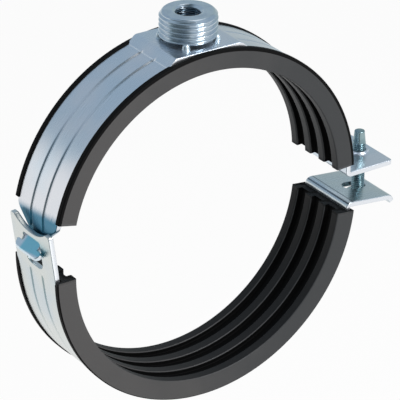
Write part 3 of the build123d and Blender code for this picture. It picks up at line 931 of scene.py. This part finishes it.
# painted reflection: the dark green-grey base colour stands in for the dark reflection on the screw
screw_zinc_and_painted_reflection = turned_zinc_and_painted_bore_shade("zinc_on_screw", (0.30, 0.41, 0.43), (0.21, 0.31, 0.34), 0.12)
screw_line = [(on_axis, screw_low + recess_depth)]
screw_line += stepped([(1.0, screw_low + recess_depth - 0.1), (1.5, screw_low + 0.2)], 0.4)
screw_line += stepped([(1.7, screw_low), (head_radius - head_round, screw_low)], 0.5)
screw_line += [(head_radius - head_round + head_round * sin(a), screw_low + head_round - head_round * cos(a))
               for a in np.linspace(0.2, 1.5, 8)]
screw_line += stepped([(head_radius, screw_low + 2.0), (head_radius, head_seat - 0.2)], 0.5)
screw_line += stepped([(head_radius - 0.2, head_seat), (screw_radius + 0.1, head_seat)], 0.5)
screw_line += stepped([(screw_radius, head_seat + 0.1), (screw_radius, screw_tip - tip_length)], 0.05)
screw_line += stepped([(screw_radius - 0.1, screw_tip - tip_length + 0.2),
                       (tip_radius, screw_tip - 0.25)], 0.3)
screw_line += [(tip_radius - 0.06, screw_tip - 0.08), (tip_radius - 0.25, screw_tip), (on_axis, screw_tip)]
screw = made_by(turning, chain("clamping_screw", screw_line), {
    "Steps": 72, "Turn": 2 * pi, "Finish": screw_zinc_and_painted_reflection,
    "Thread pitch": screw_pitch * mm, "Thread radius": screw_radius * mm,
    "Thread depth": screw_thread_depth * mm,
    "Thread from": (head_seat + 0.6) * mm, "Thread to": (screw_tip - tip_length - 0.2) * mm,
    "Tap pitch": 1.0}, Matrix.Translation((screw_x * mm, 0, 0)))
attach(screw, "screw")
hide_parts("clamp_screw")


# ---- studio
# A pale floor well below the hanging clamp, a soft lamp, and what bright metal mirrors: a white sweep
# behind and to the right, dark flats in front and to the left, a blue-grey ceiling with one soft box, and
# a small bright patch low on the right.
floor_drop = 0.22
floor_size = 30.0
floor_glow = 0.86
white, dark = (1.0, 1.0, 1.0, 1.0), (0.055, 0.085, 0.10, 1.0)
flats = [       # direction, how near to it one begins and is full (as a cosine), and its colour
    ((-0.9, -0.1, -0.42), 0.76, 0.9, (0.34, 0.46, 0.48, 1.0)),          # green-grey, low on the left
    ((-0.97, -0.24, 0.0), 0.72, 0.9, dark),                             # dark, level on the left
    ((-0.68, -0.58, -0.45), 0.88, 0.95, dark),                          # dark, low under the camera
    ((0.241, -0.857, -0.454), 0.984, 0.994, (2.0, 2.0, 2.0, 1.0)),      # a bright patch, low on the right
    ((0.33, 0.05, 0.94), 0.95, 0.975, (1.5, 1.5, 1.5, 1.0))]            # the soft box overhead


def studio_look(wire, direction):
    """The colour that is mirrored in a direction, and plain white for the camera itself."""
    x, y, z = direction.axis("X"), direction.axis("Y"), direction.axis("Z")
    look = wire.node("ShaderNodeValToRGB", {"stops": [
        (0.47, (1.0, 1.0, 1.0)), (0.53, (0.62, 0.68, 0.72)), (0.64, (0.38, 0.47, 0.55)),
        (0.80, (0.37, 0.46, 0.56)), (0.94, (0.36, 0.45, 0.54)), (0.985, (0.05, 0.08, 0.10))]},
        {"Fac": z * 0.5 + 0.5})
    right = x.between(0.45, 0.62) * y.between(0.1, 0.4) * z.between(-0.42, -0.2)
    look = (right * 0.8).mix(look, (0.42, 0.50, 0.52, 1.0))
    back_left = (x * -1.0).between(0.42, 0.6) * y.between(0.2, 0.5) * (1.0 - z.between(0.12, 0.36))
    look = back_left.mix(look, white)
    for towards, rim, full, colour in flats:
        look = direction.dot(towards).between(rim, full).mix(look, colour)
    return wire.node("ShaderNodeLightPath", out="Is Camera Ray").mix(look, white)


def seen_rays(wire):
    """1 for what is seen or mirrored, 0 for what only lights the clamp."""
    rays = wire.node("ShaderNodeLightPath")
    seen = rays.out("Is Camera Ray") + rays.out("Is Glossy Ray") + rays.out("Is Transmission Ray")
    return seen.math("MINIMUM", 1.0)


bpy.ops.mesh.primitive_plane_add(size=floor_size, location=(0, 0, cad_box[0][2] - floor_drop))
floor = bpy.context.object
floor.name = "studio_floor"
floor_finish, wire = new_finish("pale_floor")
gaze = wire.node("ShaderNodeNewGeometry", out="Incoming")
away = gaze.node("ShaderNodeVectorMath", {"operation": "SCALE"}, {0: gaze, "Scale": -1.0})
matt = wire.node("ShaderNodeBsdfDiffuse", {}, {"Color": (0.86, 0.86, 0.86, 1.0)})
glow = wire.node("ShaderNodeEmission", {}, {"Color": studio_look(wire, away), "Strength": 1.0})
(seen_rays(wire) * floor_glow).mix_shader(matt, glow).ends()
floor.data.materials.append(floor_finish)

world = bpy.data.worlds.new("studio")
bpy.context.scene.world = world
world.use_nodes = True
world.node_tree.nodes.clear()
wire = Wire(world.node_tree)
plain = wire.node("ShaderNodeBackground", {}, {"Color": white, "Strength": 0.75})
shown = wire.node("ShaderNodeBackground", {}, {
    "Color": studio_look(wire, wire.node("ShaderNodeTexCoord", out="Generated")), "Strength": 1.0})
seen_rays(wire).mix_shader(plain, shown).ends("ShaderNodeOutputWorld")


def soft_lamp(name, place, size, power):
    """A square soft box that faces the clamp."""
    data = bpy.data.lights.new(name, "AREA")
    data.size, data.energy = size, power
    lamp = bpy.data.objects.new(name, data)
    lamp.location = place
    lamp.rotation_euler = (-Vector(place)).to_track_quat("-Z", "Y").to_euler()
    bpy.context.scene.collection.objects.link(lamp)


soft_lamp("key_lamp", (0.35, -0.95, 0.75), 0.5, 10.0)


# ---- camera
# A long lens a metre away, on the hinge's side and above the clamp. It is aimed near the middle and
# rolled a little.
camera_turn, camera_rise, camera_roll = radians(-34.27), radians(27.03), radians(0.61)
camera_distance = 1.0038
camera_aim = Vector((5.69, 0, -0.66)) * mm
camera_lens = 250.6
to_camera = Vector((sin(camera_turn) * cos(camera_rise), -cos(camera_turn) * cos(camera_rise),
                    sin(camera_rise)))
camera_data = bpy.data.cameras.new("camera")
camera_data.lens, camera_data.sensor_width, camera_data.clip_end = camera_lens, 36.0, 60.0
camera = bpy.data.objects.new("camera", camera_data)
bpy.context.scene.collection.objects.link(camera)
across_view = Vector((cos(camera_turn), sin(camera_turn), 0))
up_view = to_camera.cross(across_view)
rolled_across = across_view * cos(camera_roll) + up_view * sin(camera_roll)
rolled_up = up_view * cos(camera_roll) - across_view * sin(camera_roll)
view = Matrix((rolled_across, rolled_up, to_camera)).transposed().to_4x4()
view.translation = camera_aim + to_camera * camera_distance
camera.matrix_world = view
bpy.context.scene.camera = camera
bpy.context.scene.view_settings.view_transform = "Standard"
